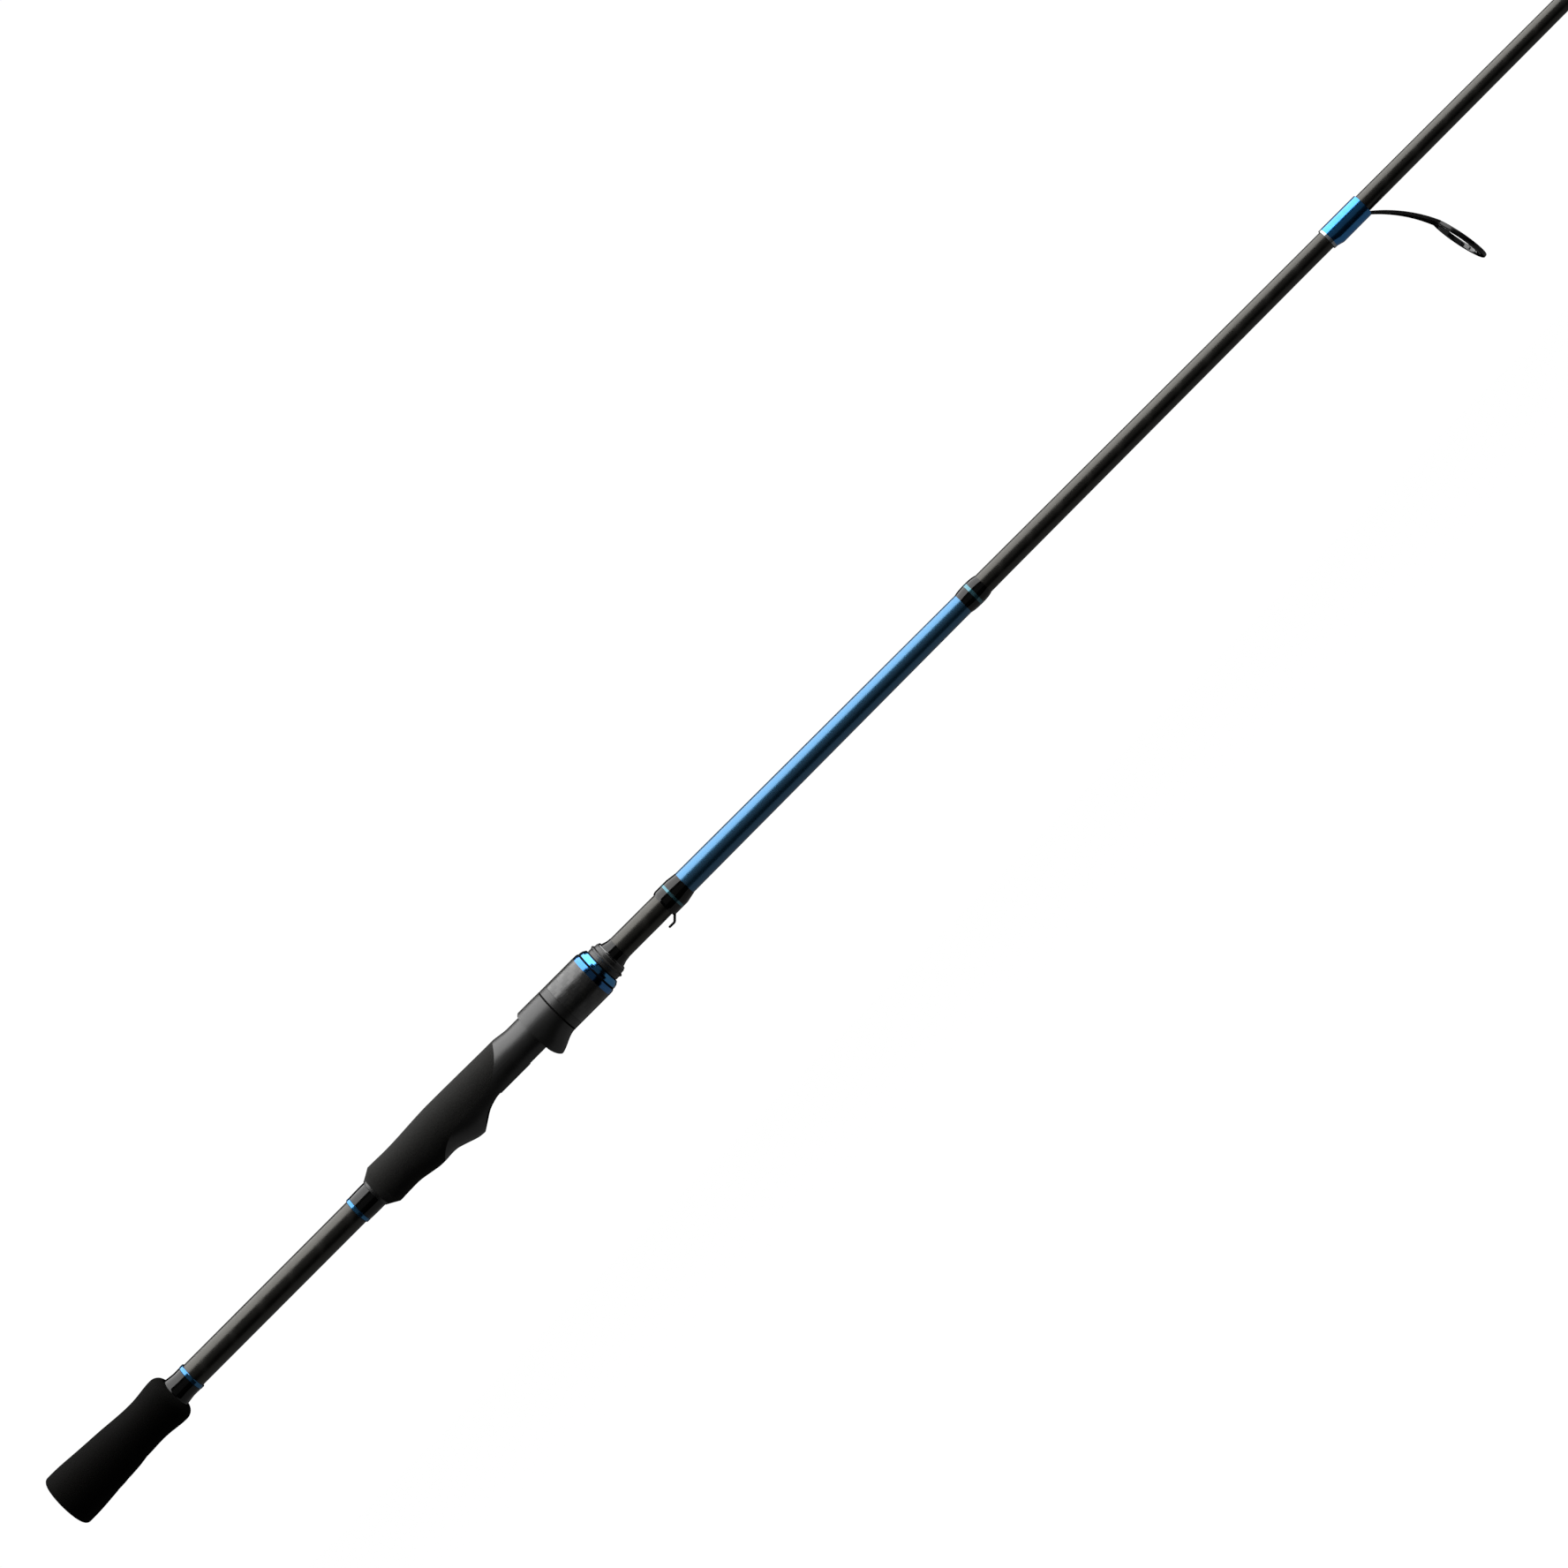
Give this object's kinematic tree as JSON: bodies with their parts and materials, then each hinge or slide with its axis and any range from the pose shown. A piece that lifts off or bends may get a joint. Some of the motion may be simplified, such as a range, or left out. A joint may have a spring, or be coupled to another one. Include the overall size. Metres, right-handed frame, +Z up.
{
  "type": "spinning rod",
  "caption": "One-piece spinning rod: foam butt and fore grips, screw-down reel seat, hook keeper, blue label section and single-foot ring guides.",
  "frame": {"origin": "centre of the flat butt end face", "axes": "+X along the blank from butt to tip, +Z up with the guides and reel side hanging towards -Z, Y across"},
  "size_m": [2.1362, 0.0284, 0.0684],
  "materials": {
    "graphite_blank": "matte clear coat over graphite cloth",
    "eva_foam": "fine closed-cell foam, sanded",
    "gloss_thread_black": "thread under clear epoxy",
    "metallic_blue": "metallic blue under clear epoxy",
    "blue_thread": "metallic blue thread under clear epoxy",
    "pale_thread": "pale blue metallic thread under clear epoxy",
    "silver_thread": "silver metallic thread under clear epoxy",
    "seat_plastic": "satin moulded graphite nylon",
    "carbon_pattern": "satin woven carbon pattern",
    "blue_anodised": "bright blue anodised",
    "label_blue": "metallic blue lacquer",
    "arbor_foam": "rigid foam",
    "black_wire": "black coated wire",
    "guide_frame": "gunsmoke-black plated stainless",
    "guide_ceramic": "polished dark ceramic"
  },
  "bodies": {
    "rod": {"blank": "graphite_blank", "butt_grip": "eva_foam", "butt_wrap": "gloss_thread_black", "butt_trim_ring": "metallic_blue", "rear_trim_ring": "metallic_blue", "rear_wrap": "gloss_thread_black", "rear_winding_check": "seat_plastic", "rear_grip": "eva_foam", "reel_seat": "seat_plastic", "seat_arbor_rear": "arbor_foam", "seat_arbor_middle": "arbor_foam", "seat_arbor_front": "arbor_foam", "front_collar": "seat_plastic", "fore_wrap": "gloss_thread_black", "hook_keeper": "black_wire", "keeper_wrap": "gloss_thread_black", "keeper_trim_ring": "pale_thread", "label_sleeve": "label_blue", "label_end_wrap": "gloss_thread_black", "label_end_ring": "pale_thread", "guide_1_frame": "guide_frame", "guide_1_ring": "guide_ceramic", "guide_1_wrap": "blue_thread", "guide_2_frame": "guide_frame", "guide_2_ring": "guide_ceramic", "guide_2_wrap": "blue_thread", "guide_3_frame": "guide_frame", "guide_3_ring": "guide_ceramic", "guide_3_wrap": "blue_thread", "guide_4_frame": "guide_frame", "guide_4_ring": "guide_ceramic", "guide_4_wrap": "blue_thread", "guide_5_frame": "guide_frame", "guide_5_ring": "guide_ceramic", "guide_5_wrap": "blue_thread", "guide_6_frame": "guide_frame", "guide_6_ring": "guide_ceramic", "guide_6_wrap": "blue_thread", "guide_7_frame": "guide_frame", "guide_7_ring": "guide_ceramic", "guide_7_wrap": "blue_thread", "guide_8_frame": "guide_frame", "guide_8_ring": "guide_ceramic", "guide_8_wrap": "blue_thread", "guide_trim_bands": "silver_thread", "tip_top_frame": "guide_frame", "tip_top_ring": "guide_ceramic", "tip_top_wrap": "blue_thread"},
    "hood": {"moving_hood": "seat_plastic"},
    "nut": {"nut_core": "seat_plastic", "nut_pattern_sleeve": "carbon_pattern", "nut_rear_ring": "blue_anodised", "nut_front_ring": "blue_anodised"}
  },
  "joints": [
    {"name": "hood_slide", "type": "slide", "parent": "rod", "child": "hood", "axis": [-1, 0, 0], "range_m": [0, 0.01]},
    {"name": "nut_spin", "type": "hinge", "parent": "hood", "child": "nut", "pos_m": [0.3236, 0, 0], "axis": [-1, 0, 0], "range_deg": [0, 1440]}
  ],
  "couplings": [
    {"joint": "nut_spin", "follows": "hood_slide", "rad_per_m": 2513.3}
  ]
}
